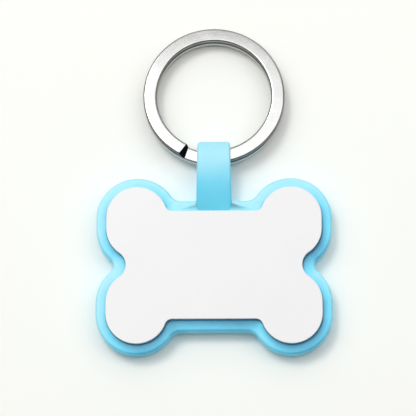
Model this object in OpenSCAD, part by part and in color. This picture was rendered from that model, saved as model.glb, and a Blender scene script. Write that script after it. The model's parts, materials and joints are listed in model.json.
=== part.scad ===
// Bone-shaped pet id tag: a soft moulded holder whose strap loop carries a
// split ring, and a bare id plate bonded into a shallow recess in its front.
// x runs across the bone, y towards the ring and z out of the front.
// The origin is the middle of the bone on its flat back, the plane z = 0.

/* [Holder] */
// Width across the bone
holder_w = 38.1; // [36:0.1:42]
// Height across the lobes
holder_h = 28.9; // [27.4:0.1:30]
// Height across the bar between the lobes
bar_h = 21.35; // [20:0.05:22.6]
// Thickness of the holder
holder_t = 3.4; // [2.8:0.1:4.4]
// Width of one lobe
lobe_w = 13.2; // [12.6:0.1:14]
// Height of one lobe
lobe_h = 15.0; // [14.2:0.1:15.8]
// Inside radius of the notch at each side
notch_r = 1.4; // [0.6:0.05:2]
// Inside radius where the bar meets a lobe
corner_r = 2.1; // [0.6:0.1:2.6]

/* [Id plate] */
// Rim of the holder around the plate at the lobes
rim_lobe = 1.65; // [1.1:0.05:2]
// Rim of the holder along the bar
rim_bar = 1.85; // [1.3:0.05:2.2]
// Thickness of the plate
plate_t = 1.0; // [0.8:0.05:1.4]
// Depth of the recess that the plate is bonded into
recess_d = 0.35; // [0.25:0.05:0.6]
// Gap between the plate's edge and the recess wall
plate_gap = 0.05; // [0.02:0.01:0.1]
// Inside radius of the plate's side notch
plate_notch_r = 2.4; // [1.7:0.1:2.8]
// Inside radius where the plate's bar meets a lobe
plate_corner_r = 1.2; // [0.8:0.1:3]

/* [Adhesive film] */
// Thickness of the bond line
film_t = 0.15; // [0.1:0.01:0.25]
// How far the film's edge stays inside the plate's edge
film_inset = 0.4; // [0.2:0.05:0.8]

/* [Strap loop] */
// Width of the strap where it leaves the holder
strap_w = 5.7; // [5:0.1:7]
// Width of the strap at its far end
strap_tip_w = 5.3; // [4.6:0.1:6]
// Reach of the loop beyond the edge of the bar
loop_len = 10; // [9.2:0.05:12]
// Thickness of the band around the ring
band_t = 0.75; // [0.6:0.05:1.4]
// Solid web between the bar and the eye
web_t = 2.6; // [1:0.1:3]
// How far the strap's foot stays off the recess
foot_set = 0.25; // [0.2:0.05:0.8]
// Cut across the strap's two far corners
tip_cut = 0.4; // [0.2:0.05:0.8]
// Clearance around the wire wherever the ring swings
ring_clear = 0.1; // [0.05:0.01:0.2]

/* [Split ring] */
// Outer diameter of the ring
ring_d = 23.2; // [20:0.1:30]
// Width of the flat wire, seen from the front
wire_w = 2.2; // [1.6:0.05:2.4]
// Thickness of the flat wire, one of the two turns
wire_t = 1.3; // [1.1:0.05:1.6]
// Running gap between the two turns
turn_gap = 0.1; // [0.06:0.01:0.3]
// Bevel along the wire's edges
wire_bevel = 0.25; // [0.1:0.05:0.35]
// Length over which the wire crosses from one turn to the other
cross_len = 4.2; // [3.6:0.1:5]
// Angle from the middle of the loop to the front turn's cut end
cut_angle = 29; // [24:1:60]
// Gap between the back turn's cut end and the crossing
cut_gap = 0.35; // [0.2:0.05:0.6]

/* [Hidden] */
$fn = 96;
// Overrun of every cut past the face that it leaves through
over = 1;
// How deep two faces that run into each other overlap, so that they cross cleanly
lap = 0.002;

// Centre of a lobe, and the centres of the round ends above and below it
lobe_x = (holder_w - lobe_w) / 2;
lobe_y = (holder_h - lobe_h) / 2;
lobe_side = (lobe_h - lobe_w) / 2;
lobe_in_y = lobe_y - lobe_side;
lobe_out_y = lobe_y + lobe_side;

// Heights of the recess floor and of the plate's back
recess_z = holder_t - recess_d;
plate_z = recess_z + film_t;

// Radii and thickness of the ring
ring_r = ring_d / 2;
ring_in_r = ring_r - wire_w;
ring_mid_r = ring_r - wire_w / 2;
turn_pitch = wire_t + turn_gap;
ring_t = turn_pitch + wire_t;
half_t = ring_t / 2;

// The wire is curved, so inside the strap it fills more than its own width
wire_sag = ring_in_r - sqrt(pow(ring_in_r, 2) - pow(strap_w / 2, 2));
half_span = (wire_w + wire_sag) / 2;
// Radius that the wire sweeps inside the eye, and the eye that clears it
sweep_r = max(
    norm([half_span - wire_bevel, half_t]),
    norm([half_span, half_t - wire_bevel])
);
eye_r = sweep_r + ring_clear;
loop_r = eye_r + band_t;
// The ring swings about the centre line of the eye's round end
eye_y = bar_h / 2 + loop_len - loop_r;
eye_z = loop_r;
hinge_r = ring_r - half_span;

// The loop's front is crowned: one arc from its foot on the rim up to the round
// end, which it meets level
foot_y = bar_h / 2 - rim_bar + foot_set;
crown_top = 2 * loop_r - lap;
crown_rise = crown_top - holder_t;
crown_r = (pow(eye_y - foot_y, 2) + pow(crown_rise, 2)) / (2 * crown_rise);
// The eye's front stays under the straight line from the foot to the round end
foot_run = norm([eye_y - foot_y, eye_z - holder_t]);
rise_a = atan2(eye_z - holder_t, eye_y - foot_y) + asin(loop_r / foot_run);
rise_normal = [-sin(rise_a), cos(rise_a)];
// The eye narrows towards the bar, so that its band is nowhere thinner than
// around the ring
taper = tan(rise_a / 2);
taper_y = eye_y - eye_r / taper;
nose_y = (bar_h / 2 + web_t - taper * taper_y) / (1 - taper);
nose_r = (nose_y - taper_y) * taper;

// The ring hangs from the eye until the far edge of its back lies on z = 0
far_r = hinge_r + ring_r - wire_bevel;
droop_a = asin(eye_z / norm([far_r, half_t])) - atan2(half_t, far_r);

// Angles from the middle of the loop to the ends of the crossing's slope, to
// the ends of the two turns inside the crossing, and to the back turn's cut end
slope_a = asin(cross_len / 2 / ring_mid_r);
turn_a = asin(cross_len / 2 / ring_in_r);
back_cut_a = asin((cross_len / 2 + cut_gap) / ring_mid_r);

// Height of the wire's back along its two turns, in degrees from the back
// turn's cut end, and the least gap between the turns where both pass
function wire_z(a) =
    turn_pitch * min(1, max(0, (a - 360 + slope_a) / (2 * slope_a)));
gap_step = 2;
turn_gaps = [
    for (a = [back_cut_a : gap_step : 360 - cut_angle]) wire_z(a + 360) - wire_z(a) - wire_t
];
echo(least_gap_between_turns = min(turn_gaps));

// How far across from a lobe's end arc the centre of a concave corner lies
function reach(lobe_r, corner, height) =
    sqrt(pow(lobe_r + corner - lap, 2) - pow(height, 2));

// The bone outline, drawn in from the holder's outline by one inset at the
// lobes and one at the bar, with its own radii in the concave corners
module bone(lobe_inset, bar_inset, notch, corner) {
    r = lobe_w / 2 - lobe_inset;
    bar = bar_h / 2 - bar_inset;
    notch_x = lobe_x + reach(r, notch, lobe_in_y);
    corner_y = bar + corner - lap;
    corner_x = lobe_x - reach(r, corner, corner_y - lobe_out_y);

    square([2 * lobe_x, 2 * bar], center = true);
    for (side = [0, 1])
        mirror([side, 0]) {
            for (end = [0, 1])
                mirror([0, end]) {
                    for (y = [lobe_in_y, lobe_out_y])
                        translate([lobe_x, y])
                            circle(r = r);
                    translate([lobe_x, lobe_y])
                        square([2 * r, 2 * lobe_side], center = true);
                    difference() {
                        polygon([
                            [corner_x, 0], [lobe_x, 0],
                            [lobe_x, lobe_out_y], [corner_x, corner_y]
                        ]);
                        translate([corner_x, corner_y])
                            circle(r = corner);
                    }
                }
            difference() {
                polygon([
                    [0, 0], [lobe_x, -lobe_in_y], [notch_x, 0], [lobe_x, lobe_in_y]
                ]);
                translate([notch_x, 0])
                    circle(r = notch);
            }
        }
}

// Side view of the loop, y to the right and z up, without its eye
module loop_side() {
    translate([eye_y, eye_z])
        circle(r = loop_r);
    intersection() {
        translate([foot_y - lap, 0])
            square([eye_y - foot_y + lap, 2 * loop_r]);
        translate([eye_y, crown_top - crown_r])
            circle(r = crown_r);
    }
}

// Side view of the eye: two circles and the lines that touch both
module eye_side() {
    translate([eye_y, eye_z])
        circle(r = eye_r);
    translate([nose_y, band_t + nose_r])
        circle(r = nose_r);
    polygon([
        [nose_y, band_t + lap], [eye_y, band_t + lap], [eye_y, eye_z],
        [eye_y, eye_z] + (eye_r - lap) * rise_normal,
        [nose_y, band_t + nose_r] + (nose_r - lap) * rise_normal
    ]);
}

// Plan view of the strap, narrower at its far end, with that end's corners cut
module strap_plan() {
    tip_y = bar_h / 2 + loop_len;
    half = strap_w / 2;
    tip_half = strap_tip_w / 2;
    polygon([
        [-half, foot_y - lap], [half, foot_y - lap], [half, bar_h / 2],
        [tip_half, tip_y - tip_cut], [tip_half - tip_cut, tip_y],
        [tip_cut - tip_half, tip_y], [-tip_half, tip_y - tip_cut], [-half, bar_h / 2]
    ]);
}

// The strap: its side view and its plan view both cut it to shape
module strap() {
    intersection() {
        rotate([90, 0, 90])
            linear_extrude(height = strap_w + over, center = true)
                loop_side();
        linear_extrude(height = 2 * loop_r)
            strap_plan();
    }
}

// Soft moulded holder in one piece: the tray with its recess, and the strap loop
module holder() {
    color([0.55, 0.86, 0.97])
        difference() {
            union() {
                linear_extrude(height = holder_t)
                    bone(0, 0, notch_r, corner_r);
                strap();
            }
            translate([0, 0, recess_z])
                linear_extrude(height = recess_d + over)
                    bone(
                        rim_lobe - plate_gap, rim_bar - plate_gap,
                        plate_notch_r - plate_gap, plate_corner_r - plate_gap
                    );
            rotate([90, 0, 90])
                linear_extrude(height = strap_w + over, center = true)
                    eye_side();
        }
}

// Coated metal plate, bare on its front, which stands proud of the holder
module id_plate() {
    color([0.95, 0.95, 0.96])
        translate([0, 0, plate_z])
            linear_extrude(height = plate_t)
                bone(rim_lobe, rim_bar, plate_notch_r, plate_corner_r);
}

// Double-sided film that bonds the plate to the recess floor
module adhesive_film() {
    color([0.85, 0.84, 0.78])
        translate([0, 0, recess_z])
            linear_extrude(height = film_t)
                bone(
                    rim_lobe + film_inset, rim_bar + film_inset,
                    plate_notch_r + film_inset, plate_corner_r + film_inset
                );
}

// Section of the flat wire, from the ring's inner radius outwards
module wire_section() {
    b = wire_bevel;
    translate([ring_in_r, 0])
        polygon([
            [b, 0], [wire_w - b, 0], [wire_w, b], [wire_w, wire_t - b],
            [wire_w - b, wire_t], [b, wire_t], [0, wire_t - b], [0, b]
        ]);
}

// One turn of the wire, counted in degrees from the middle of the loop
module turn(from, to) {
    rotate([0, 0, from - 90])
        rotate_extrude(angle = to - from)
            wire_section();
}

// The stretch where the wire crosses from the back turn to the front turn, with
// level ends that take in the ends of both turns
module crossing() {
    half = cross_len / 2;
    end = ring_r * sin(turn_a) + lap;
    intersection() {
        difference() {
            cylinder(r = ring_r + lap, h = ring_t);
            translate([0, 0, -over])
                cylinder(r = ring_in_r - lap, h = ring_t + 2 * over);
        }
        rotate([90, 0, 0])
            linear_extrude(height = ring_r + over)
                polygon([
                    [-end, 0], [-half, 0], [half, turn_pitch], [end, turn_pitch],
                    [end, ring_t], [half, ring_t], [-half, wire_t], [-end, wire_t]
                ]);
    }
}

// Split ring: one flat wire in two turns, with a cut end at the front and one
// at the back, swung down in the eye until it rests on the plane of the back
module split_ring() {
    color([0.78, 0.78, 0.79])
        translate([0, eye_y, eye_z])
            rotate([-droop_a, 0, 0])
                translate([0, hinge_r, -half_t]) {
                    turn(back_cut_a, 360 - turn_a);
                    translate([0, 0, turn_pitch])
                        turn(turn_a, 360 - cut_angle);
                    crossing();
                }
}

holder();
id_plate();
adhesive_film();
split_ring();
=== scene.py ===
"""Looks of a bone-shaped pet id tag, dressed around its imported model.

A soft moulded holder carries a coated metal plate in its front, and the strap
loop above the bone carries a split ring. Lengths are in metres: x runs across
the bone, y towards the ring and z out of the front. The tag lies on z = 0.
"""

import json
import logging
import math
from dataclasses import dataclass
from enum import Enum, IntEnum

import bmesh
import bpy
from mathutils import Matrix, Vector


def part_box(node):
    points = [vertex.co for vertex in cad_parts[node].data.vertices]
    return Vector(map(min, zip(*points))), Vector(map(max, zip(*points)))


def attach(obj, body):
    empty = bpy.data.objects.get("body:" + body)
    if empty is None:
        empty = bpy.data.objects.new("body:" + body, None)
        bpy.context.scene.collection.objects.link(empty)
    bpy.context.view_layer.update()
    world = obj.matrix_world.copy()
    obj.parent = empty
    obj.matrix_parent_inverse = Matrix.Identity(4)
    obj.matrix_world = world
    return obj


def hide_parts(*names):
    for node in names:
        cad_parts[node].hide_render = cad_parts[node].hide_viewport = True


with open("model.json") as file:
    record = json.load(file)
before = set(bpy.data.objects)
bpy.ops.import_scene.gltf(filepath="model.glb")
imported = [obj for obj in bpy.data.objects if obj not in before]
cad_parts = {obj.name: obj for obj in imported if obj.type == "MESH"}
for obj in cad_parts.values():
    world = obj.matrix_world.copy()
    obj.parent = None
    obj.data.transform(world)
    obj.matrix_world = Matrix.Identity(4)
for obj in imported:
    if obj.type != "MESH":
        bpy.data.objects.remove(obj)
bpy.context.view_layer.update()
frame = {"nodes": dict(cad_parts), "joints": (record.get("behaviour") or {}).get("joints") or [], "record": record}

log = logging.getLogger("pet_id_tag")

MM = 0.001
HALF_TURN = math.pi
QUARTER_TURN = math.pi / 2
UP = Vector((0, 0, 1))
ACROSS = Vector((1, 0, 0))
# Step of an arc that is given no count, least angle of an edge that stays sharp,
# and how far apart two vertices may be and still merge
ARC_STEP = math.radians(3)
CREASE = math.radians(32)
MERGE = 1e-7
# Mesh attribute for the silicone's painted shade, from 0 (lit colour) to 1 (deepest painted shadow)
PAINTED_SHADE = "painted_shade_depth"

Colour = tuple[float, float, float]
# The vertices and edges of the wire's section at one place
Section = list[bmesh.types.BMVert | bmesh.types.BMEdge]


class Body(Enum):
    """The parts of the tag that move as one."""

    HOLDER = "holder"
    RING = "ring"


class Node(Enum):
    """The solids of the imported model."""

    HOLDER = "holder"
    PLATE = "id_plate"
    FILM = "adhesive_film"
    RING = "split_ring"


class Slot(Enum):
    """The record's slots that the new pieces take their finish from."""

    SILICONE = "blue_silicone"
    COATING = "white_plate"
    STEEL = "ring_steel"


class WireFace(IntEnum):
    """The kinds of face on the ring, numbered as its finishes are."""

    PLATED = 0
    UPPER_SIDE = 1
    CUT = 2


def within(value: float, high: float = 1) -> float:
    """Keeps a value from 0 to a highest one."""
    return min(high, max(0, value))


def paint(red: int, green: int, blue: int) -> Colour:
    """Turns a colour as a screen shows it into the shader's linear one.

    Args:
        red: Red from 0 to 255.
        green: Green from 0 to 255.
        blue: Blue from 0 to 255.

    Returns:
        The linear colour, each part from 0 to 1.
    """
    knee, gain, offset, power, full = 0.04045, 12.92, 0.055, 2.4, 255
    parts = [part / full for part in (red, green, blue)]
    return tuple(
        part / gain if part <= knee else ((part + offset) / (1 + offset)) ** power
        for part in parts
    )


class Recipe:
    """Adds the nodes of one finish and joins them to its shader."""

    def __init__(self, name: str) -> None:
        """Starts a material.

        Args:
            name: The finish in plain words.
        """
        self.material = bpy.data.materials.new(name)
        self.material.use_nodes = True
        self.nodes = self.material.node_tree.nodes
        self.shader = self.nodes["Principled BSDF"]

    def node(self, kind: str, **settings: object) -> bpy.types.Node:
        """Adds a node.

        Args:
            kind: The node's type.
            settings: Its own properties, by name.

        Returns:
            The new node.
        """
        made = self.nodes.new(kind)
        for key, value in settings.items():
            setattr(made, key, value)
        return made

    def join(self, source: bpy.types.NodeSocket, target: bpy.types.NodeSocket) -> None:
        """Joins an output to an input."""
        self.material.node_tree.links.new(source, target)

    def place(self, centre: Vector = Vector(), turn: float = 0) -> bpy.types.NodeSocket:
        """Gives the point on the piece, seen from a centre of its own.

        Args:
            centre: Where that centre lies.
            turn: How far its frame is turned about x.

        Returns:
            The point as a vector.
        """
        point = self.node("ShaderNodeTexCoord")
        local = self.node("ShaderNodeMapping", vector_type="TEXTURE")
        local.inputs["Location"].default_value = centre
        local.inputs["Rotation"].default_value = (turn, 0, 0)
        self.join(point.outputs["Object"], local.inputs["Vector"])
        return local.outputs["Vector"]

    def noise(
        self, point: bpy.types.NodeSocket, size: float, detail: float = 2
    ) -> bpy.types.NodeSocket:
        """Adds soft noise.

        Args:
            point: Where it is read.
            size: Width of one of its patches.
            detail: How many finer layers it has.

        Returns:
            Its strength, about 0.5 on average.
        """
        made = self.node("ShaderNodeTexNoise")
        made.inputs["Scale"].default_value = 1 / size
        made.inputs["Detail"].default_value = detail
        self.join(point, made.inputs["Vector"])
        return made.outputs["Fac"]

    def spread(
        self, value: bpy.types.NodeSocket, low: float, high: float
    ) -> bpy.types.NodeSocket:
        """Maps the middle of a noise to a range.

        Args:
            value: The noise.
            low: What a weak noise gives.
            high: What a strong noise gives.

        Returns:
            The new value.
        """
        made = self.node("ShaderNodeMapRange")
        weak, strong = 0.3, 0.7
        for key, number in zip(
            ("From Min", "From Max", "To Min", "To Max"), (weak, strong, low, high)
        ):
            made.inputs[key].default_value = number
        self.join(value, made.inputs["Value"])
        return made.outputs["Result"]

    def blend(
        self, value: bpy.types.NodeSocket, first: Colour, second: Colour
    ) -> bpy.types.NodeSocket:
        """Mixes two colours by a value.

        Args:
            value: How much of the second colour there is.
            first: The first colour.
            second: The second colour.

        Returns:
            The mixed colour.
        """
        made = self.node("ShaderNodeMix", data_type="RGBA")
        made.inputs["A"].default_value = (*first, 1)
        made.inputs["B"].default_value = (*second, 1)
        self.join(value, made.inputs["Factor"])
        return made.outputs["Result"]

    def ramp(
        self, value: bpy.types.NodeSocket, colours: tuple[Colour, ...]
    ) -> bpy.types.NodeSocket:
        """Runs through a row of colours by a value.

        Args:
            value: Where in the row, from 0 to 1.
            colours: The colours, evenly apart.

        Returns:
            The colour there.
        """
        made = self.node("ShaderNodeValToRGB")
        stops = made.color_ramp.elements
        while len(stops) < len(colours):
            stops.new(0)
        for index, colour in enumerate(colours):
            stops[index].position = index / (len(colours) - 1)
            stops[index].color = (*colour, 1)
        self.join(value, made.inputs["Fac"])
        return made.outputs["Color"]

    def relief(self, height: bpy.types.NodeSocket, depth: float) -> None:
        """Adds a fine relief to the surface.

        Args:
            height: The relief from 0 to 1.
            depth: The height of 1.
        """
        made = self.node("ShaderNodeBump")
        made.inputs["Distance"].default_value = depth
        self.join(height, made.inputs["Height"])
        self.feed(Normal=made.outputs["Normal"])

    def feed(self, **values: bpy.types.NodeSocket) -> None:
        """Joins values to inputs of the shader, with _ for each space in a name."""
        for key, value in values.items():
            self.join(value, self.shader.inputs[key.replace("_", " ")])

    def set(self, **values: object) -> None:
        """Sets inputs of the shader, with _ for each space in a name."""
        for key, value in values.items():
            self.shader.inputs[key.replace("_", " ")].default_value = value


@dataclass(frozen=True)
class SoftSilicone:
    """Moulded silicone: matte, slightly translucent, sky blue."""

    # Its lit colour, then painted shade for slopes and walls away from the light, then the plate's painted shadow
    # on the lip
    light: Colour = paint(170, 235, 255)
    painted_shade_tone: Colour = paint(112, 223, 255)
    painted_shadow_tone: Colour = paint(14, 138, 176)
    cloud: float = 0.06
    patch: float = 5 * MM
    grain: float = 0.09 * MM
    grain_depth: float = 0.006 * MM
    glow_depth: float = 0.6 * MM
    glow_share: float = 0.35
    # How far red, green and blue go in the silicone, as shares of the glow's depth
    glow_shares: Colour = (0.25, 0.8, 1.0)
    shine: float = 0.5
    refraction: float = 1.6
    smoothest: float = 0.36
    roughest: float = 0.48

    def material(self) -> bpy.types.Material:
        """Makes the finish, deepened by painted shade from the mesh's attribute, with a moulded grain."""
        recipe = Recipe("sky_blue_silicone")
        point = recipe.place()
        patches = recipe.spread(recipe.noise(point, self.patch), -self.cloud, self.cloud)
        # Painted shade from the mesh, plus random patches of tone
        painted_shade = recipe.node("ShaderNodeAttribute", attribute_name=PAINTED_SHADE)
        depth = recipe.node("ShaderNodeMath", operation="ADD", use_clamp=True)
        recipe.join(painted_shade.outputs["Fac"], depth.inputs[0])
        recipe.join(patches, depth.inputs[1])
        colours = (self.light, self.painted_shade_tone, self.painted_shadow_tone)
        recipe.feed(Base_Color=recipe.ramp(depth.outputs["Value"], colours))
        grain = recipe.noise(point, self.grain, detail=3)
        recipe.feed(Roughness=recipe.spread(grain, self.smoothest, self.roughest))
        recipe.relief(grain, self.grain_depth)
        recipe.set(
            Subsurface_Weight=self.glow_share,
            Subsurface_Scale=self.glow_depth,
            Subsurface_Radius=self.glow_shares,
            Specular_IOR_Level=self.shine,
            IOR=self.refraction,
        )
        return recipe.material


@dataclass(frozen=True)
class PlateCoating:
    """Satin white coating on metal, for engraving or printing, left bare."""

    face: Colour = paint(242, 242, 242)
    faint: Colour = paint(240, 240, 241)
    patch: float = 7 * MM
    peel: float = 0.35 * MM
    peel_depth: float = 0.0015 * MM
    smoothest: float = 0.3
    roughest: float = 0.4

    def material(self) -> bpy.types.Material:
        """Makes the finish with a faint cloud and the peel of a sprayed coat."""
        recipe = Recipe("satin_white_coating")
        point = recipe.place()
        patches = recipe.spread(recipe.noise(point, self.patch, detail=4), 0, 1)
        recipe.feed(Base_Color=recipe.blend(patches, self.face, self.faint))
        peel = recipe.noise(point, self.peel, detail=3)
        recipe.feed(Roughness=recipe.spread(peel, self.smoothest, self.roughest))
        recipe.relief(peel, self.peel_depth)
        return recipe.material


@dataclass(frozen=True)
class BondFilm:
    """Cloudy double-sided film."""

    clear: Colour = paint(232, 228, 214)
    cloudy: Colour = paint(220, 214, 196)
    cloud: float = 1.2 * MM
    wrinkle_depth: float = 0.02 * MM
    smoothest: float = 0.45
    roughest: float = 0.65

    def material(self) -> bpy.types.Material:
        """Makes the finish with milky clouds."""
        recipe = Recipe("cloudy_bond_film")
        clouds = recipe.noise(recipe.place(), self.cloud, detail=4)
        milk = recipe.spread(clouds, 0, 1)
        recipe.feed(Base_Color=recipe.blend(milk, self.clear, self.cloudy))
        recipe.feed(Roughness=recipe.spread(clouds, self.smoothest, self.roughest))
        recipe.relief(clouds, self.wrinkle_depth)
        return recipe.material


@dataclass(frozen=True)
class PolishedWire:
    """Plated steel wire with fine polish lines that run along it."""

    centre: Vector
    tilt: float
    name: str = "polished_ring_steel"
    bright: Colour = paint(198, 198, 196)
    worn: Colour = paint(191, 191, 190)
    # Colour of its reflections at a slant
    grazed: Colour = (1, 1, 1)
    line: float = 0.05 * MM
    line_depth: float = 0.0016 * MM
    lines_per_turn: float = 3.0
    smudge: float = 2.4 * MM
    smoothest: float = 0.11
    roughest: float = 0.2

    def lines(self, recipe: Recipe) -> bpy.types.NodeSocket:
        """Adds noise that is drawn out along the wire.

        It is read at the heading round the ring, and at how many line widths a
        point lies outward from the ring's centre and upward.

        Args:
            recipe: The finish that gets it.

        Returns:
            Its strength, about 0.5 on average.
        """
        local = recipe.place(self.centre, self.tilt)
        flat = recipe.node("ShaderNodeVectorMath", operation="MULTIPLY")
        flat.inputs[1].default_value = (1, 1, 0)
        recipe.join(local, flat.inputs[0])
        radius = recipe.node("ShaderNodeVectorMath", operation="LENGTH")
        recipe.join(flat.outputs["Vector"], radius.inputs[0])
        heading = recipe.node("ShaderNodeVectorMath", operation="NORMALIZE")
        recipe.join(flat.outputs["Vector"], heading.inputs[0])
        along = recipe.node("ShaderNodeVectorMath", operation="SCALE")
        along.inputs["Scale"].default_value = self.lines_per_turn
        recipe.join(heading.outputs["Vector"], along.inputs[0])
        parts = recipe.node("ShaderNodeSeparateXYZ")
        recipe.join(along.outputs["Vector"], parts.inputs["Vector"])
        height = recipe.node("ShaderNodeSeparateXYZ")
        recipe.join(local, height.inputs["Vector"])
        outward, upward = [
            recipe.node("ShaderNodeMath", operation="DIVIDE") for _ in range(2)
        ]
        for count, length in ((outward, radius.outputs["Value"]), (upward, height.outputs["Z"])):
            count.inputs[1].default_value = self.line
            recipe.join(length, count.inputs[0])
        where = recipe.node("ShaderNodeCombineXYZ")
        recipe.join(parts.outputs["X"], where.inputs["X"])
        recipe.join(parts.outputs["Y"], where.inputs["Y"])
        recipe.join(outward.outputs["Value"], where.inputs["Z"])
        made = recipe.node("ShaderNodeTexNoise", noise_dimensions="4D")
        made.inputs["Scale"].default_value = 1
        made.inputs["Detail"].default_value = 3
        recipe.join(where.outputs["Vector"], made.inputs["Vector"])
        recipe.join(upward.outputs["Value"], made.inputs["W"])
        return made.outputs["Fac"]

    def material(self) -> bpy.types.Material:
        """Makes the finish with polish lines and faint smudges."""
        recipe = Recipe(self.name)
        lines = self.lines(recipe)
        smudges = recipe.spread(recipe.noise(recipe.place(), self.smudge, detail=3), 0, 1)
        recipe.feed(Base_Color=recipe.blend(smudges, self.bright, self.worn))
        recipe.feed(Roughness=recipe.spread(lines, self.smoothest, self.roughest))
        recipe.relief(lines, self.line_depth)
        recipe.set(Metallic=1, Specular_Tint=(*self.grazed, 1))
        return recipe.material


@dataclass(frozen=True)
class PaintedShadeWire(PolishedWire):
    """The same wire with painted shade: a darker colour, and darker painted reflections at a slant."""

    name: str = "painted_shade_ring_steel"
    # Painted shade: darker than the plated wire, with darker painted reflections at a slant
    bright: Colour = paint(166, 166, 166)
    worn: Colour = paint(156, 156, 157)
    grazed: Colour = paint(104, 104, 106)
    smoothest: float = 0.12


@dataclass(frozen=True)
class ShearedAndShadedWire:
    """Dull steel where the wire is cut through, made near black and reflecting nothing as painted shade."""

    # Dull sheared steel, darkened to near black as painted shade
    dull: Colour = paint(32, 32, 33)
    dark: Colour = paint(14, 14, 15)
    grain: float = 0.12 * MM
    grain_depth: float = 0.02 * MM
    smoothest: float = 0.5
    roughest: float = 0.7

    def material(self) -> bpy.types.Material:
        """Makes the finish with the torn grain of a sheared end."""
        recipe = Recipe("sheared_and_shaded_ring_steel")
        grain = recipe.noise(recipe.place(), self.grain, detail=4)
        torn = recipe.spread(grain, 0, 1)
        recipe.feed(Base_Color=recipe.blend(torn, self.dull, self.dark))
        recipe.feed(Roughness=recipe.spread(grain, self.smoothest, self.roughest))
        recipe.relief(grain, self.grain_depth)
        # Reflects nothing: painted shade over the cut end
        recipe.set(Specular_IOR_Level=0)
        return recipe.material


class Pen:
    """Draws one unbroken line of edges, vertex after vertex."""

    def __init__(self, bm: bmesh.types.BMesh, start: Vector, facing: Vector) -> None:
        """Puts the pen down.

        Args:
            bm: The mesh that it draws in.
            start: The first vertex.
            facing: The axis that its arcs turn about.
        """
        self.bm = bm
        self.facing = facing
        self.first = bm.verts.new(start)
        self.tip = self.first

    def line(self, to: Vector, steps: int = 1) -> None:
        """Draws a straight stretch.

        Args:
            to: Where it ends.
            steps: The number of edges in it.
        """
        start = self.tip.co.copy()
        for step in range(1, steps + 1):
            drawn = bmesh.ops.extrude_vert_indiv(self.bm, verts=[self.tip])
            self.tip = drawn["verts"][0]
            self.tip.co = start.lerp(to, step / steps)

    def arc(self, centre: Vector, sweep: float, steps: int = 0) -> None:
        """Draws an arc.

        Args:
            centre: Its centre.
            sweep: The angle that it turns through, positive against the clock.
            steps: The number of edges in it, or 0 for one at each arc step.
        """
        drawn = bmesh.ops.spin(
            self.bm,
            geom=[self.tip],
            cent=centre,
            axis=self.facing,
            angle=sweep,
            steps=steps or max(1, round(abs(sweep) / ARC_STEP)),
            use_duplicate=False,
        )
        self.tip = drawn["geom_last"][0]

    def close(self) -> None:
        """Joins the line's end to its start."""
        self.bm.edges.new((self.tip, self.first))


def fill(bm: bmesh.types.BMesh, loop: list[bmesh.types.BMEdge]) -> bmesh.types.BMFace:
    """Fills a closed line with one face.

    Args:
        bm: The mesh.
        loop: The line's edges.

    Returns:
        The new face.
    """
    return bmesh.ops.contextual_create(bm, geom=loop)["faces"][0]


def fill_between(
    bm: bmesh.types.BMesh, loops: list[bmesh.types.BMEdge], facing: Vector
) -> list[bmesh.types.BMFace]:
    """Fills the flat space between a closed line and one inside it.

    Args:
        bm: The mesh.
        loops: The edges of both lines.
        facing: Which way the flat faces.

    Returns:
        The new faces.
    """
    made = bmesh.ops.triangle_fill(bm, use_beauty=True, edges=loops, normal=facing)["geom"]
    return [part for part in made if isinstance(part, bmesh.types.BMFace)]


def raise_faces(
    bm: bmesh.types.BMesh, faces: list[bmesh.types.BMFace], way: Vector
) -> list[bmesh.types.BMFace]:
    """Makes a closed solid by extruding flat faces.

    Args:
        bm: The mesh.
        faces: The faces, which become the near side.
        way: How far, and in which direction.

    Returns:
        The faces of the far side.
    """
    made = bmesh.ops.extrude_face_region(bm, geom=faces, use_keep_orig=True)["geom"]
    moved = [part for part in made if isinstance(part, bmesh.types.BMVert)]
    bmesh.ops.translate(bm, verts=moved, vec=way)
    return [part for part in made if isinstance(part, bmesh.types.BMFace)]


def around(faces: list[bmesh.types.BMFace]) -> list[bmesh.types.BMEdge]:
    """Gives the edges that only one of these faces has."""
    inside = set(faces)
    edges = {edge for face in faces for edge in face.edges}
    return [edge for edge in edges if len(inside.intersection(edge.link_faces)) == 1]


def round_edges(
    bm: bmesh.types.BMesh, edges: list[bmesh.types.BMEdge], radius: float, steps: int
) -> list[bmesh.types.BMFace]:
    """Rounds edges.

    Args:
        bm: The mesh.
        edges: The edges.
        radius: The radius of the round.
        steps: The number of strips in it.

    Returns:
        The faces of the round.
    """
    return bmesh.ops.bevel(
        bm,
        geom=edges,
        offset=radius,
        affect="EDGES",
        segments=steps,
        profile=0.5,
        material=-1,
        clamp_overlap=False,
    )["faces"]


def outward_mesh(bm: bmesh.types.BMesh, name: str) -> bpy.types.Mesh:
    """Merges doubles, turns every face outwards and ends the bmesh.

    Args:
        bm: The mesh in the making.
        name: The name of the finished one.

    Returns:
        The finished mesh.
    """
    bmesh.ops.remove_doubles(bm, verts=bm.verts, dist=MERGE)
    bmesh.ops.recalc_face_normals(bm, faces=bm.faces)
    mesh = bpy.data.meshes.new(name)
    bm.to_mesh(mesh)
    bm.free()
    return mesh


def show(name: str, mesh: bpy.types.Mesh) -> bpy.types.Object:
    """Puts a mesh into the scene, unturned at the origin."""
    piece = bpy.data.objects.new(name, mesh)
    bpy.context.scene.collection.objects.link(piece)
    return piece


def bake_modifiers(piece: bpy.types.Object) -> None:
    """Turns what a piece's modifiers make into its own mesh."""
    solved = piece.evaluated_get(bpy.context.evaluated_depsgraph_get())
    mesh = bpy.data.meshes.new_from_object(solved)
    piece.modifiers.clear()
    piece.data = mesh


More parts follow.
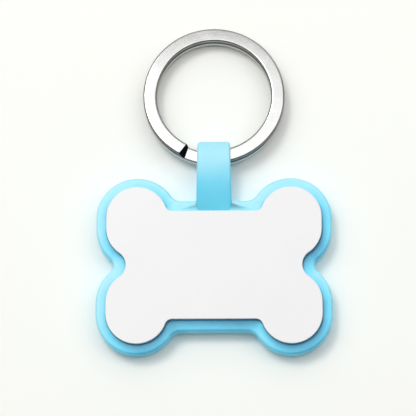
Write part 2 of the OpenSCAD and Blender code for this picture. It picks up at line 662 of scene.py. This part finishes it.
def smooth(piece: bpy.types.Object, seam: list[bpy.types.MeshEdge] | None = None) -> None:
    """Shades a piece smooth, with flat faces flat and creases sharp.

    Args:
        piece: The piece.
        seam: Edges that are sharp at any angle.
    """
    mesh = piece.data
    mesh.polygons.foreach_set("use_smooth", [True] * len(mesh.polygons))
    mesh.set_sharp_from_angle(angle=CREASE)
    for edge in seam or []:
        edge.use_edge_sharp = True
    even = piece.modifiers.new("even_shading", "WEIGHTED_NORMAL")
    even.keep_sharp = True
    bake_modifiers(piece)


def dress(
    piece: bpy.types.Object, finishes: list[bpy.types.Material], body: Body, node: Node
) -> None:
    """Gives a piece its finish, and its place on the tag.

    Args:
        piece: The piece.
        finishes: Its materials, in the order of its faces' material numbers.
        body: What it moves with.
        node: The solid that it stands for.
    """
    for finish in finishes:
        piece.data.materials.append(finish)
    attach(piece, body.value)
    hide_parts(node.value)
    log.info("%s: %d faces", piece.name, len(piece.data.polygons))


@dataclass(frozen=True)
class StrapRoot:
    """Where the strap leaves the bar: half its width, its side rounds, its length."""

    half: float
    flare: float
    reach: float


@dataclass(frozen=True)
class BoneOutline:
    """A bone seen from the front: a bar with two round lobes at each end.

    Each lobe has two arcs of one radius, joined by a short straight side.
    """

    lobe_x: float
    lobe_in_y: float
    lobe_out_y: float
    lobe_r: float
    bar: float
    notch_r: float
    corner_r: float

    @property
    def notch_x(self) -> float:
        """Where the centre of the round in the side notch lies."""
        reach = self.lobe_r + self.notch_r
        return self.lobe_x + math.sqrt(reach**2 - self.lobe_in_y**2)

    @property
    def corner(self) -> tuple[float, float]:
        """Where the centre of the round between bar and lobe lies."""
        y = self.bar + self.corner_r
        reach = self.lobe_r + self.corner_r
        return self.lobe_x - math.sqrt(reach**2 - (y - self.lobe_out_y) ** 2), y

    def draw(
        self, bm: bmesh.types.BMesh, z: float, root: StrapRoot | None = None
    ) -> list[bmesh.types.BMEdge]:
        """Draws the closed outline.

        Args:
            bm: The mesh that it is drawn in.
            z: Its height.
            root: The strap's root on the upper edge of the bar, if it has one.

        Returns:
            The outline's edges.
        """
        before = set(bm.edges)
        corner_x, corner_y = self.corner
        notch_turn = math.atan2(self.lobe_in_y, self.notch_x - self.lobe_x)
        lobe_turn = math.atan2(corner_y - self.lobe_out_y, corner_x - self.lobe_x)
        corner_turn = QUARTER_TURN - lobe_turn
        side_x = self.lobe_x + self.lobe_r
        pen = Pen(bm, Vector((0, -self.bar, z)), UP)
        pen.line(Vector((corner_x, -self.bar, z)))
        pen.arc(Vector((corner_x, -corner_y, z)), corner_turn)
        pen.arc(Vector((self.lobe_x, -self.lobe_out_y, z)), lobe_turn)
        pen.line(Vector((side_x, -self.lobe_in_y, z)))
        pen.arc(Vector((self.lobe_x, -self.lobe_in_y, z)), notch_turn)
        pen.arc(Vector((self.notch_x, 0, z)), -2 * notch_turn)
        pen.arc(Vector((self.lobe_x, self.lobe_in_y, z)), notch_turn)
        pen.line(Vector((side_x, self.lobe_out_y, z)))
        pen.arc(Vector((self.lobe_x, self.lobe_out_y, z)), lobe_turn)
        pen.arc(Vector((corner_x, corner_y, z)), corner_turn)
        if root:
            start = root.half + root.flare
            pen.line(Vector((start, self.bar, z)))
            pen.arc(Vector((start, self.bar + root.flare, z)), -QUARTER_TURN, steps=6)
            pen.line(Vector((root.half, self.bar + root.reach, z)))
            pen.line(Vector((0, self.bar + root.reach, z)))
        else:
            pen.line(Vector((0, self.bar, z)))
        half = [edge for edge in bm.edges if edge not in before]
        corners = list({vert for edge in half for vert in edge.verts})
        bmesh.ops.mirror(
            bm, geom=half + corners, matrix=Matrix.Identity(4), merge_dist=MERGE, axis="X"
        )
        return [edge for edge in bm.edges if edge not in before]


@dataclass
class Tag:
    """Sizes that the tag's pieces share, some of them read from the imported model."""

    lobe_w: float = 13.2 * MM
    lobe_h: float = 15.0 * MM
    bar_h: float = 21.35 * MM
    holder_t: float = 3.4 * MM
    recess_d: float = 0.35 * MM
    plate_gap: float = 0.05 * MM
    rim_bar: float = 1.85 * MM

    def __post_init__(self) -> None:
        """Reads the boxes of the solids, and the hinge between strap and ring."""
        self.holder_low, self.holder_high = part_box(Node.HOLDER.value)
        self.plate_low, self.plate_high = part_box(Node.PLATE.value)
        self.hinge = Vector(frame["joints"][0]["pos_m"])

    def bone(
        self, lobe_inset: float, bar_inset: float, notch_r: float, corner_r: float
    ) -> BoneOutline:
        """Gives the holder's outline, drawn in.

        Args:
            lobe_inset: How far it is drawn in at the lobes.
            bar_inset: How far it is drawn in at the bar.
            notch_r: The radius in its side notches.
            corner_r: The radius in its concave corners.

        Returns:
            The outline.
        """
        lobe_y = -self.holder_low.y - self.lobe_h / 2
        side = (self.lobe_h - self.lobe_w) / 2
        return BoneOutline(
            lobe_x=self.holder_high.x - self.lobe_w / 2,
            lobe_in_y=lobe_y - side,
            lobe_out_y=lobe_y + side,
            lobe_r=self.lobe_w / 2 - lobe_inset,
            bar=self.bar_h / 2 - bar_inset,
            notch_r=notch_r,
            corner_r=corner_r,
        )

    @property
    def rim_lobe(self) -> float:
        """Width of the holder's rim around the plate's lobes."""
        return self.holder_high.x - self.plate_high.x

    @property
    def plate_edge(self) -> float:
        """Where the plate's edge lies at the bar, on the strap's side."""
        return self.bar_h / 2 - self.rim_bar


@dataclass
class IdPlate:
    """The plate: a flat bone with softly broken edges."""

    tag: Tag
    notch_r: float = 2.4 * MM
    corner_r: float = 1.2 * MM
    front_edge: float = 0.08 * MM
    back_edge: float = 0.06 * MM

    def outline(self, grow: float = 0) -> BoneOutline:
        """Gives the plate's outline, or the recess's.

        Args:
            grow: How much wider the recess is.

        Returns:
            The outline.
        """
        return self.tag.bone(
            self.tag.rim_lobe - grow,
            self.tag.rim_bar - grow,
            self.notch_r - grow,
            self.corner_r - grow,
        )

    def build(self, finish: PlateCoating) -> None:
        """Makes the plate and puts it in the recess.

        Args:
            finish: What it is coated with.
        """
        low, high = self.tag.plate_low.z, self.tag.plate_high.z
        bm = bmesh.new()
        back = fill(bm, self.outline().draw(bm, low))
        front = raise_faces(bm, [back], UP * (high - low))
        back_loop, front_loop = around([back]), around(front)
        round_edges(bm, front_loop, self.front_edge, steps=4)
        back_loop = [edge for edge in back_loop if edge.is_valid]
        round_edges(bm, back_loop, self.back_edge, steps=2)
        plate = show("coated_plate", outward_mesh(bm, "coated_plate"))
        smooth(plate)
        dress(plate, [finish.material()], Body.HOLDER, Node.PLATE)


@dataclass
class Holder:
    """The soft holder: a tray with a rounded rim, and the strap loop."""

    tag: Tag
    plate: IdPlate
    notch_r: float = 1.4 * MM
    corner_r: float = 2.1 * MM
    rim_round: float = 0.38 * MM
    back_round: float = 0.35 * MM
    recess_round: float = 0.12 * MM
    strap_w: float = 5.7 * MM
    strap_tip_w: float = 5.3 * MM
    # Radius by which the strap's sides curve in at its tip, and over what length
    tip_round: float = 0.55 * MM
    tip_reach: float = 0.4 * MM
    strap_edge: float = 0.4 * MM
    eye_edge: float = 0.2 * MM
    # Thickness of the strap around the eye, and its solid length from bar to eye
    band_t: float = 0.75 * MM
    web_t: float = 2.6 * MM
    # How far from the plate the strap's front meets the rim, and how far it runs on
    # inside the tray
    foot_set: float = 0.25 * MM
    foot_sink: float = 0.2 * MM
    root_flare: float = 0.35 * MM
    root_reach: float = 1.6 * MM
    # How far the strap's flat back stays off the tray's, so that no faces coincide
    back_lift: float = 0.01 * MM
    # Along the strap, where its painted shade starts and where it is deepest, deepening towards the bar
    shade_start_y: float = 17.6 * MM
    shade_full_y: float = 13.2 * MM
    strap_shade: float = 0.5
    # Painted shade of the outer walls, of the rim's outer edge and of the lip round
    # the plate. The lip's is deeper by the swing where it faces the light's way, as a
    # painted shadow of the plate, and the rim's where it faces away from the light
    wall_shade: float = 0.45
    rim_shade: float = 0.2
    lip_shade: float = 0.57
    shade_swing: float = 0.5
    # Horizontal way from the tag towards the key light
    light_way: Vector = Vector((-0.45, 0.89, 0))

    @property
    def foot_y(self) -> float:
        """Where the strap's front meets the rim."""
        return self.tag.plate_edge + self.foot_set

    def shade_round(
        self,
        faces: list[bmesh.types.BMFace],
        depth: bmesh.types.BMLayerItem,
        painted_shade: float,
        way: Vector,
    ) -> None:
        """Paints shade on a rounded edge, deeper where it faces one way.

        Args:
            faces: The faces of the round.
            depth: The mesh's layer for the painted shade.
            painted_shade: The painted shade of a stretch that faces across that way.
            way: The way.
        """
        for face in faces:
            facing = face.normal.xy.normalized().dot(way.xy)
            for vert in face.verts:
                vert[depth] = within(painted_shade + self.shade_swing * facing)

    def tray(self) -> bpy.types.Mesh:
        """Makes the tray with its recess and its painted shade.

        Returns:
            The tray's mesh.
        """
        top = self.tag.holder_t
        bm = bmesh.new()
        depth = bm.verts.layers.float.new(PAINTED_SHADE)
        # The root is a little narrower than the strap, so that no walls coincide
        root_half = self.strap_w / 2 - 2 * self.back_lift
        root = StrapRoot(root_half, self.root_flare, self.root_reach)
        outline = self.tag.bone(0, 0, self.notch_r, self.corner_r)
        back = fill(bm, outline.draw(bm, 0, root))
        front = raise_faces(bm, [back], UP * top)
        back_loop, front_loop = around([back]), around(front)
        round_edges(bm, back_loop, self.back_round, steps=4)
        front_loop = [edge for edge in front_loop if edge.is_valid]
        rim_faces = round_edges(bm, front_loop, self.rim_round, steps=7)
        # The front's flat is the largest face that looks up
        front = max(bm.faces, key=lambda face: face.calc_area() * (face.normal.z > 0))
        rim = list(front.edges)
        bmesh.ops.delete(bm, geom=[front], context="FACES_ONLY")
        recess = self.plate.outline(self.tag.plate_gap).draw(bm, top)
        fill_between(bm, rim + recess, UP)
        wall = bmesh.ops.extrude_edge_only(bm, edges=recess)["geom"]
        sunk = [part for part in wall if isinstance(part, bmesh.types.BMVert)]
        bmesh.ops.translate(bm, verts=sunk, vec=-UP * self.tag.recess_d)
        fill(bm, [part for part in wall if isinstance(part, bmesh.types.BMEdge)])
        lip = round_edges(bm, recess, self.recess_round, steps=3)
        bmesh.ops.recalc_face_normals(bm, faces=bm.faces)
        # Painted shade: the walls darker, and the rim's outer edge and the plate's lip darker on the side away
        # from the light
        for vert in bm.verts:
            vert[depth] = self.wall_shade
        self.shade_round(rim_faces, depth, self.rim_shade, -self.light_way)
        self.shade_round(lip, depth, self.lip_shade, self.light_way)
        return outward_mesh(bm, "tray")

    def half_width(self, y: float) -> float:
        """Gives half the strap's width.

        Args:
            y: Where along the strap.

        Returns:
            Half the width there.
        """
        tip, bar = self.tag.holder_high.y, self.tag.bar_h / 2
        share = within((y - bar) / (tip - bar))
        half = self.strap_w / 2 + share * (self.strap_tip_w - self.strap_w) / 2
        past = within(y - (tip - self.tip_reach), self.tip_reach)
        return half - self.tip_round + math.sqrt(self.tip_round**2 - past**2)

    def draw_eye(self, bm: bmesh.types.BMesh) -> set[tuple[float, float]]:
        """Draws the side view of the eye, which narrows towards the bar.

        Args:
            bm: The mesh.

        Returns:
            Where its corners lie in y and z.
        """
        centre = self.tag.hinge
        eye_r = centre.z - self.band_t
        # The eye's upper side slopes like a line that runs from the foot and
        # touches the strap's round end
        foot_rise = centre.z - self.tag.holder_t
        foot_run = centre.y - self.foot_y
        rise = math.atan2(foot_rise, foot_run)
        rise += math.asin(centre.z / math.hypot(foot_run, foot_rise))
        # Its two sides would meet here, and a small round ends them before that
        taper = math.tan(rise / 2)
        taper_y = centre.y - eye_r / taper
        nose_y = (self.tag.bar_h / 2 + self.web_t - taper * taper_y) / (1 - taper)
        nose_r = (nose_y - taper_y) * taper
        nose = Vector((0, nose_y, self.band_t + nose_r))
        before = set(bm.verts)
        pen = Pen(bm, centre - UP * eye_r, ACROSS)
        pen.arc(centre, HALF_TURN + rise)
        pen.line(nose + nose_r * Vector((0, -math.sin(rise), math.cos(rise))))
        pen.arc(nose, HALF_TURN - rise, steps=12)
        pen.close()
        return {vert.co.yz.to_tuple() for vert in bm.verts if vert not in before}

    def strap(self) -> bpy.types.Mesh:
        """Makes the strap loop from its side view, with the eye through it.

        Returns:
            The strap's mesh.
        """
        centre = self.tag.hinge
        loop_r = centre.z
        foot_run = centre.y - self.foot_y
        # The front is an arc, level at the top of the loop, that comes down to the foot
        crown_rise = 2 * loop_r - self.tag.holder_t
        crown_r = (foot_run**2 + crown_rise**2) / (2 * crown_rise)
        crown = centre + UP * (loop_r - crown_r)
        crown_turn = math.asin(foot_run / crown_r) + self.foot_sink / crown_r

        low = self.back_lift
        run_steps = 12
        bm = bmesh.new()
        outer = Pen(bm, centre + UP * (low - loop_r), ACROSS)
        outer.arc(centre, HALF_TURN)
        outer.arc(crown, crown_turn, run_steps)
        end_y = outer.tip.co.y
        outer.line(Vector((0, end_y, low)))
        outer.line(centre + Vector((0, 0, low - loop_r)), run_steps)
        outer.close()
        eye = self.draw_eye(bm)
        side = fill_between(bm, list(bm.edges), ACROSS)
        far = raise_faces(bm, side, ACROSS)
        flank = {vert for face in far for vert in face.verts}
        for vert in bm.verts:
            vert.co.x = self.half_width(vert.co.y) * (1 if vert in flank else -1)
        edges = around(side) + around(far)
        eye_edges = [edge for edge in edges if edge.verts[0].co.yz.to_tuple() in eye]
        round_edges(bm, list(set(edges) - set(eye_edges)), self.strap_edge, steps=5)
        round_edges(bm, eye_edges, self.eye_edge, steps=3)
        return outward_mesh(bm, "strap")

    def shade_strap(self, mesh: bpy.types.Mesh) -> list[bpy.types.MeshEdge]:
        """Paints shade on the strap, deeper towards the bar where it slopes away from the light.

        Args:
            mesh: The whole holder's mesh.

        Returns:
            The edges where the strap meets the tray.
        """
        side = self.strap_w / 2 + self.back_lift
        old = mesh.attributes[PAINTED_SHADE]
        shades = [depth.value for depth in old.data]
        # Each corner of a face has its own, so that the painted shade can jump at the seam
        mesh.attributes.remove(old)
        corners = mesh.attributes.new(PAINTED_SHADE, "FLOAT", "CORNER").data
        seam = set()
        for face in mesh.polygons:
            spots = [mesh.vertices[index].co for index in face.vertices]
            strap = all(
                abs(spot.x) < side and spot.y > self.tag.plate_edge for spot in spots
            )
            for corner, index, spot in zip(face.loop_indices, face.vertices, spots):
                share = within((self.shade_start_y - spot.y) / (self.shade_start_y - self.shade_full_y))
                corners[corner].value = self.strap_shade * share if strap else shades[index]
            if strap:
                seam ^= set(face.edge_keys)
        return [edge for edge in mesh.edges if edge.key in seam]

    def build(self, finish: SoftSilicone) -> None:
        """Makes the holder in one piece.

        Args:
            finish: What it is moulded from.
        """
        holder = show("soft_holder", self.tray())
        strap = show("strap", self.strap())
        union = holder.modifiers.new("moulded_as_one", "BOOLEAN")
        union.operation = "UNION"
        union.solver = "EXACT"
        union.object = strap
        bake_modifiers(holder)
        bpy.data.objects.remove(strap)
        seam = self.shade_strap(holder.data)
        smooth(holder, seam)
        dress(holder, [finish.material()], Body.HOLDER, Node.HOLDER)


@dataclass
class SplitRing:
    """The split ring: one flat wire wound twice round, and closed on itself."""

    outer_r: float = 11.6 * MM
    wire_t: float = 1.3 * MM
    turn_gap: float = 0.1 * MM
    wire_edge: float = 0.36 * MM
    # Length of the crossing between the turns, and the back cut's distance from it
    cross_len: float = 4.2 * MM
    cut_gap: float = 0.35 * MM
    # Where the front cut lies from the strap, how both cuts slant, and how much
    # further the wire reaches at the front cut's lower edge
    cut_angle: float = math.radians(29)
    cut_slant: float = math.radians(-8)
    cut_lean: float = 0.7 * MM
    cut_edge: float = 0.08 * MM
    # Least share of a flat face's normal that is along the ring's axis
    flat_least: float = 0.9
    steps_per_turn: int = 144

    def __post_init__(self) -> None:
        """Reads the ring's inside radius, centre and tilt from the record."""
        mounts = {mount["name"]: mount for mount in frame["record"]["mounts"]}
        mount = mounts["collar_ring"]
        self.inner_r = mount["dims"]["r_mm"] * MM
        self.centre = Vector(mount["pos_m"])
        self.tilt = -math.atan2(mount["axis"][1], mount["axis"][2])

    def draw_section(self, bm: bmesh.types.BMesh) -> None:
        """Draws the flat wire's section, with rounded edges, on the strap's side.

        Args:
            bm: The mesh.
        """
        edge = self.wire_edge
        near, far = -self.inner_r - edge, -self.outer_r + edge
        low, high = edge, self.wire_t - edge
        corners = ((far, low), (far, high), (near, high), (near, low))
        out = -UP
        pen = Pen(bm, Vector((0, near, 0)), -ACROSS)
        for y, z in corners:
            corner = Vector((0, y, z))
            pen.line(corner + edge * out)
            pen.arc(corner, QUARTER_TURN, steps=6)
            out = out.cross(ACROSS)
        bmesh.ops.remove_doubles(bm, verts=list(bm.verts), dist=MERGE)

    def wind(
        self, bm: bmesh.types.BMesh, section: Section, sweep: float, lift: float = 0
    ) -> Section:
        """Winds the wire's section on around the ring.

        Args:
            bm: The mesh.
            section: The section's vertices and edges where the wire ends now.
            sweep: The angle to wind through.
            lift: How far the wire rises on the way.

        Returns:
            The section where it ends then.
        """
        steps = max(1, round(sweep / math.tau * self.steps_per_turn))
        return bmesh.ops.spin(
            bm,
            geom=section,
            cent=(0, 0, 0),
            axis=UP,
            dvec=UP * (lift / steps),
            angle=sweep,
            steps=steps,
            use_duplicate=False,
        )["geom_last"]

    def cap(
        self, bm: bmesh.types.BMesh, section: Section, lean: float = 0
    ) -> bmesh.types.BMFace:
        """Closes the wire at one end with a slanted cut.

        Args:
            bm: The mesh.
            section: The section's vertices and edges.
            lean: How much further the wire reaches at the cut's lower edge.

        Returns:
            The face of the cut.
        """
        corners = [part for part in section if isinstance(part, bmesh.types.BMVert)]
        middle = sum((vert.co for vert in corners), Vector()) / len(corners)
        slant = Matrix.Rotation(self.cut_slant, 3, "Z")
        bmesh.ops.rotate(bm, verts=corners, cent=middle, matrix=slant)
        along = UP.cross(middle).normalized()
        width = self.outer_r - self.inner_r
        for vert in corners:
            down = 0.5 - (vert.co.z - middle.z) / self.wire_t
            outward = 1 + (vert.co.xy.length - middle.xy.length) / width
            vert.co += along * lean * down * outward
        return fill(bm, [part for part in section if isinstance(part, bmesh.types.BMEdge)])

    def build(self, plated: PolishedWire, shaded_upper_side: PaintedShadeWire, cut: ShearedAndShadedWire) -> None:
        """Makes the wire and hangs it in the strap.

        Args:
            plated: How most of the wire looks.
            shaded_upper_side: How the sides and rounded edges of its upper turn look, with painted shade.
            cut: How its cut ends look, dull and with painted shade.
        """
        pitch = self.wire_t + self.turn_gap
        middle_r = (self.inner_r + self.outer_r) / 2
        cross = math.asin(self.cross_len / 2 / middle_r)
        start = math.asin((self.cross_len / 2 + self.cut_gap) / middle_r)
        bm = bmesh.new()
        self.draw_section(bm)
        turn = Matrix.Rotation(start, 3, "Z")
        bmesh.ops.rotate(bm, verts=list(bm.verts), cent=(0, 0, 0), matrix=turn)
        first = list(bm.verts) + list(bm.edges)
        last = self.wind(bm, first, math.tau - cross - start)
        last = self.wind(bm, last, 2 * cross, pitch)
        last = self.wind(bm, last, math.tau - self.cut_angle - cross)
        bm.normal_update()
        # The upper turn's sides and rounded edges take the painted shade finish
        for face in bm.faces:
            upper = face.calc_center_median().z > self.wire_t
            side = abs(face.normal.z) < self.flat_least
            face.material_index = WireFace.UPPER_SIDE if upper and side else WireFace.PLATED
        ends = [self.cap(bm, first), self.cap(bm, last, self.cut_lean)]
        for end in ends:
            end.material_index = WireFace.CUT
        end_edges = [edge for end in ends for edge in end.edges]
        round_edges(bm, end_edges, self.cut_edge, steps=2)
        hang = Matrix.Translation(self.centre) @ Matrix.Rotation(self.tilt, 4, "X")
        half_t = (pitch + self.wire_t) / 2
        bmesh.ops.transform(
            bm, matrix=hang @ Matrix.Translation(-UP * half_t), verts=list(bm.verts)
        )
        ring = show("wound_ring", outward_mesh(bm, "wound_ring"))
        smooth(ring)
        finishes = [finish.material() for finish in (plated, shaded_upper_side, cut)]
        dress(ring, finishes, Body.RING, Node.RING)


def dress_node(node: Node, finish: bpy.types.Material) -> None:
    """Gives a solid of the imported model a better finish.

    Args:
        node: The solid.
        finish: Its material.
    """
    solid = frame["nodes"][node.value]
    for slot in solid.material_slots:
        slot.material = finish
    log.info("%s: packed solid, dressed", node.value)


@dataclass(frozen=True)
class StudioLight:
    """A soft light card that faces a point of the tag.

    Its heading is in degrees against the clock from the ring's side, and its
    elevation in degrees above the floor.
    """

    name: str
    heading: float
    elevation: float
    distance: float
    width: float
    height: float
    watts: float

    def place(self, target: Vector) -> None:
        """Hangs the card.

        Args:
            target: The point that it faces.
        """
        heading, elevation = math.radians(self.heading), math.radians(self.elevation)
        way = Vector((
            -math.sin(heading) * math.cos(elevation),
            math.cos(heading) * math.cos(elevation),
            math.sin(elevation),
        ))
        card = bpy.data.lights.new(self.name, "AREA")
        card.shape = "RECTANGLE"
        card.size = self.width
        card.size_y = self.height
        card.energy = self.watts
        lamp = bpy.data.objects.new(self.name, card)
        lamp.location = target + way * self.distance
        lamp.rotation_euler = way.to_track_quat("Z", "Y").to_euler()
        bpy.context.scene.collection.objects.link(lamp)


@dataclass
class Studio:
    """Floor, light and camera."""

    # The camera's aim and place, fitted to the photograph, and its view's width there
    target: Vector = Vector((-1.03 * MM, 10.2 * MM, 0))
    camera_place: Vector = Vector((6.0 * MM, -62.87 * MM, 334.7 * MM))
    camera_roll: float = -0.0001
    view_width: float = 68.14 * MM
    sensor_width: float = 36
    nearest_seen: float = 10 * MM
    lit_point: Vector = Vector((0, 12 * MM, 0))
    floor_half: float = 1.5
    floor_drop: float = 0.02 * MM
    floor_colour: Colour = paint(254, 255, 250)
    sky_strength: float = 0.235

    def build(self) -> None:
        """Makes the whole stage."""
        self.lay_floor()
        self.hang_lights()
        self.set_camera()
        log.info("studio: floor, lights and camera")

    def lay_floor(self) -> None:
        """Lays a plain pale floor just under the tag."""
        bm = bmesh.new()
        bmesh.ops.create_grid(bm, x_segments=1, y_segments=1, size=self.floor_half)
        bmesh.ops.translate(bm, verts=list(bm.verts), vec=-UP * self.floor_drop)
        floor = show("pale_floor", outward_mesh(bm, "pale_floor"))
        recipe = Recipe("pale_floor")
        recipe.set(
            Base_Color=(*self.floor_colour, 1), Roughness=1, Specular_IOR_Level=0
        )
        floor.data.materials.append(recipe.material)

    def hang_lights(self) -> None:
        """Hangs the key light, two cards and a dim sky."""
        key = StudioLight(
            "key_light", heading=40, elevation=62, distance=1.2, width=0.36, height=0.36, watts=3.6
        )
        overhead = StudioLight(
            "overhead_card", heading=0, elevation=80.8, distance=0.5, width=1.4, height=0.29, watts=2.05
        )
        back = StudioLight(
            "back_card", heading=0, elevation=43, distance=0.6, width=1.2, height=0.458, watts=1.1
        )
        for light in (key, overhead, back):
            light.place(self.lit_point)
        world = bpy.data.worlds.new("dim_sky")
        world.use_nodes = True
        sky = world.node_tree.nodes["Background"]
        sky.inputs["Color"].default_value = (1, 1, 1, 1)
        sky.inputs["Strength"].default_value = self.sky_strength
        bpy.context.scene.world = world

    def set_camera(self) -> None:
        """Sets the camera where the photograph was taken from."""
        lens = bpy.data.cameras.new("camera")
        lens.sensor_width = self.sensor_width
        away = self.camera_place - self.target
        lens.lens = self.sensor_width * away.length / self.view_width
        lens.clip_start = self.nearest_seen
        camera = bpy.data.objects.new("camera", lens)
        level = Vector((0, 1, 0)).cross(away).normalized()
        upright = away.cross(level).normalized()
        turn = Matrix((level, upright, away.normalized())).transposed()
        turn = turn @ Matrix.Rotation(self.camera_roll, 3, "Z")
        camera.matrix_world = Matrix.Translation(self.camera_place) @ turn.to_4x4()
        bpy.context.scene.collection.objects.link(camera)
        bpy.context.scene.camera = camera


def main() -> None:
    """Builds the pieces in order, then the stage."""
    logging.basicConfig(level=logging.INFO, format="%(message)s")
    bpy.context.scene.view_settings.view_transform = "Standard"
    tag = Tag()
    plate = IdPlate(tag)
    Holder(tag, plate).build(SoftSilicone())
    plate.build(PlateCoating())
    dress_node(Node.FILM, BondFilm().material())
    ring = SplitRing()
    plated = PolishedWire(ring.centre, ring.tilt)
    shaded_upper_side = PaintedShadeWire(ring.centre, ring.tilt)
    ring.build(plated, shaded_upper_side, ShearedAndShadedWire())
    Studio().build()


if __name__ == "__main__":
    main()
